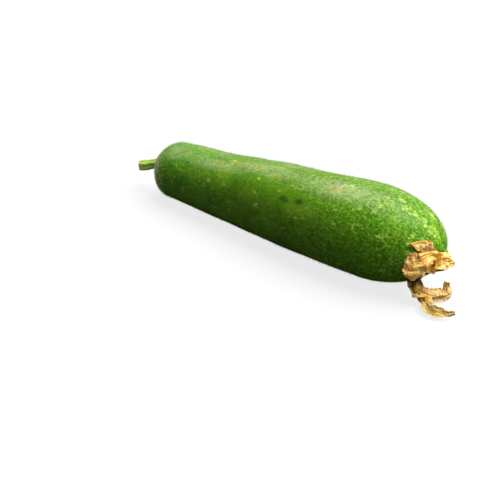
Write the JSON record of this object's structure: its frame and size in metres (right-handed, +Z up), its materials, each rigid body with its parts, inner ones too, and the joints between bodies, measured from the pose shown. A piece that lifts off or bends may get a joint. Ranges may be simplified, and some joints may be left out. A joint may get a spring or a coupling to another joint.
{
  "type": "wax gourd",
  "caption": "Young hairy wax gourd lying on its belly: a long club-shaped green fruit with its cut stalk and the withered flower still hanging from its blossom end.",
  "frame": {"origin": "middle of the small flat spot that the belly rests on", "axes": "+X along the fruit from the stalk to the blossom end, +Z up, +Y towards the side that the fruit bows to"},
  "size_m": [0.3291, 0.0703, 0.0704],
  "materials": {
    "gourd_skin": "mottled green skin with fine hairs, satin",
    "stalk_skin": "green ridged stalk with short hairs, matte",
    "withered_petal": "dry crumpled petals, ochre to brown, matte"
  },
  "bodies": {
    "root": {"gourd_fruit": "gourd_skin", "stalk": "stalk_skin", "dried_flower": "withered_petal"}
  },
  "joints": []
}
